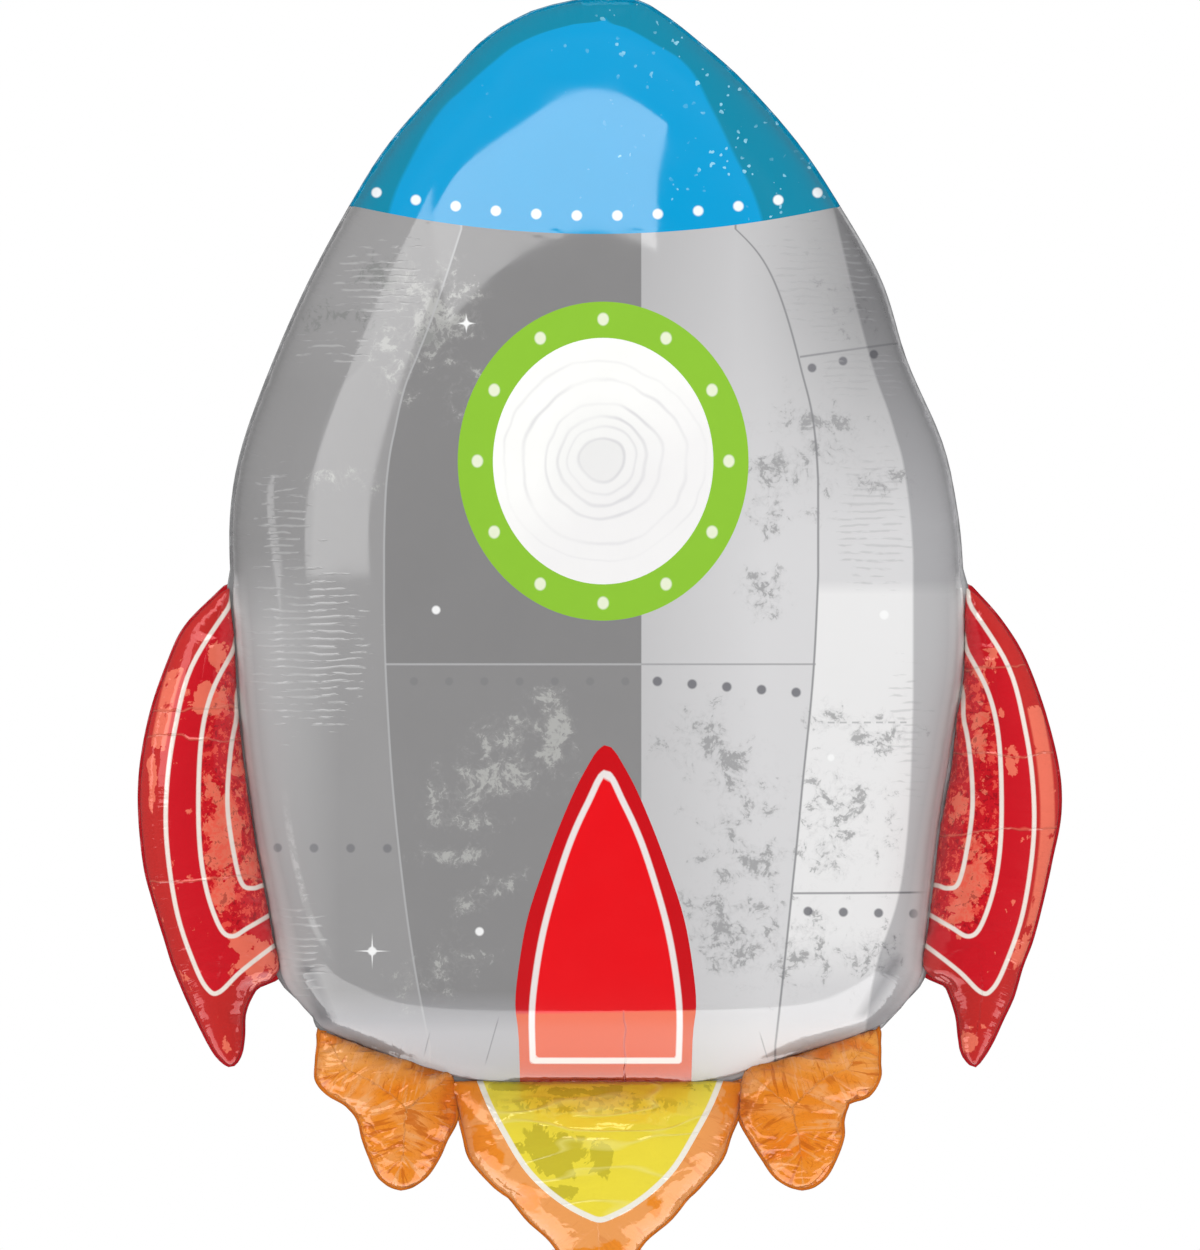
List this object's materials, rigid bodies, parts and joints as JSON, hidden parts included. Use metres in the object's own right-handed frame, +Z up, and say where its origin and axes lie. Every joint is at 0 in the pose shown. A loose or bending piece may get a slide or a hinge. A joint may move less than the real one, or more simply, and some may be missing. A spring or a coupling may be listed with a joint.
{
  "type": "rocket foil balloon",
  "caption": "Inflated rocket-shaped foil balloon with blue nose, silver hull, porthole, red fins and orange flames, a hang tab and a flat filling tail.",
  "frame": {"origin": "in the seam plane on the centre line of the hull chamber at its widest height, close to the centre of buoyancy, where the gas holds the balloon up", "axes": "+X to the right of a viewer who faces the front print, +Y away from that viewer through the balloon's thickness, +Z up towards the nose"},
  "size_m": [0.533, 0.278, 0.804],
  "materials": {
    "blue_foil": "gloss",
    "silver_foil": "gloss",
    "green_foil": "gloss",
    "white_foil": "gloss",
    "red_foil": "gloss",
    "orange_foil": "gloss",
    "yellow_foil": "gloss"
  },
  "bodies": {
    "root": {"nose_front": "blue_foil", "nose_back": "blue_foil", "hull_front": "silver_foil", "hull_back": "silver_foil", "porthole_ring_front": "green_foil", "porthole_ring_back": "green_foil", "porthole_window_front": "white_foil", "porthole_window_back": "white_foil", "centre_fin_front": "red_foil", "centre_fin_back": "red_foil", "fin_left_front": "red_foil", "fin_left_back": "red_foil", "fin_right_front": "red_foil", "fin_right_back": "red_foil", "flame_left_front": "orange_foil", "flame_left_back": "orange_foil", "flame_right_front": "orange_foil", "flame_right_back": "orange_foil", "flame_centre_front": "orange_foil", "flame_centre_back": "orange_foil", "flame_core_front": "yellow_foil", "flame_core_back": "yellow_foil", "seal_nose": "blue_foil", "seal_hull": "silver_foil", "seal_fin_left": "red_foil", "seal_fin_right": "red_foil", "seal_flame_left": "orange_foil", "seal_flame_right": "orange_foil", "seal_flame_centre": "orange_foil", "hang_tab": "blue_foil", "filling_tail": "orange_foil"}
  },
  "joints": []
}
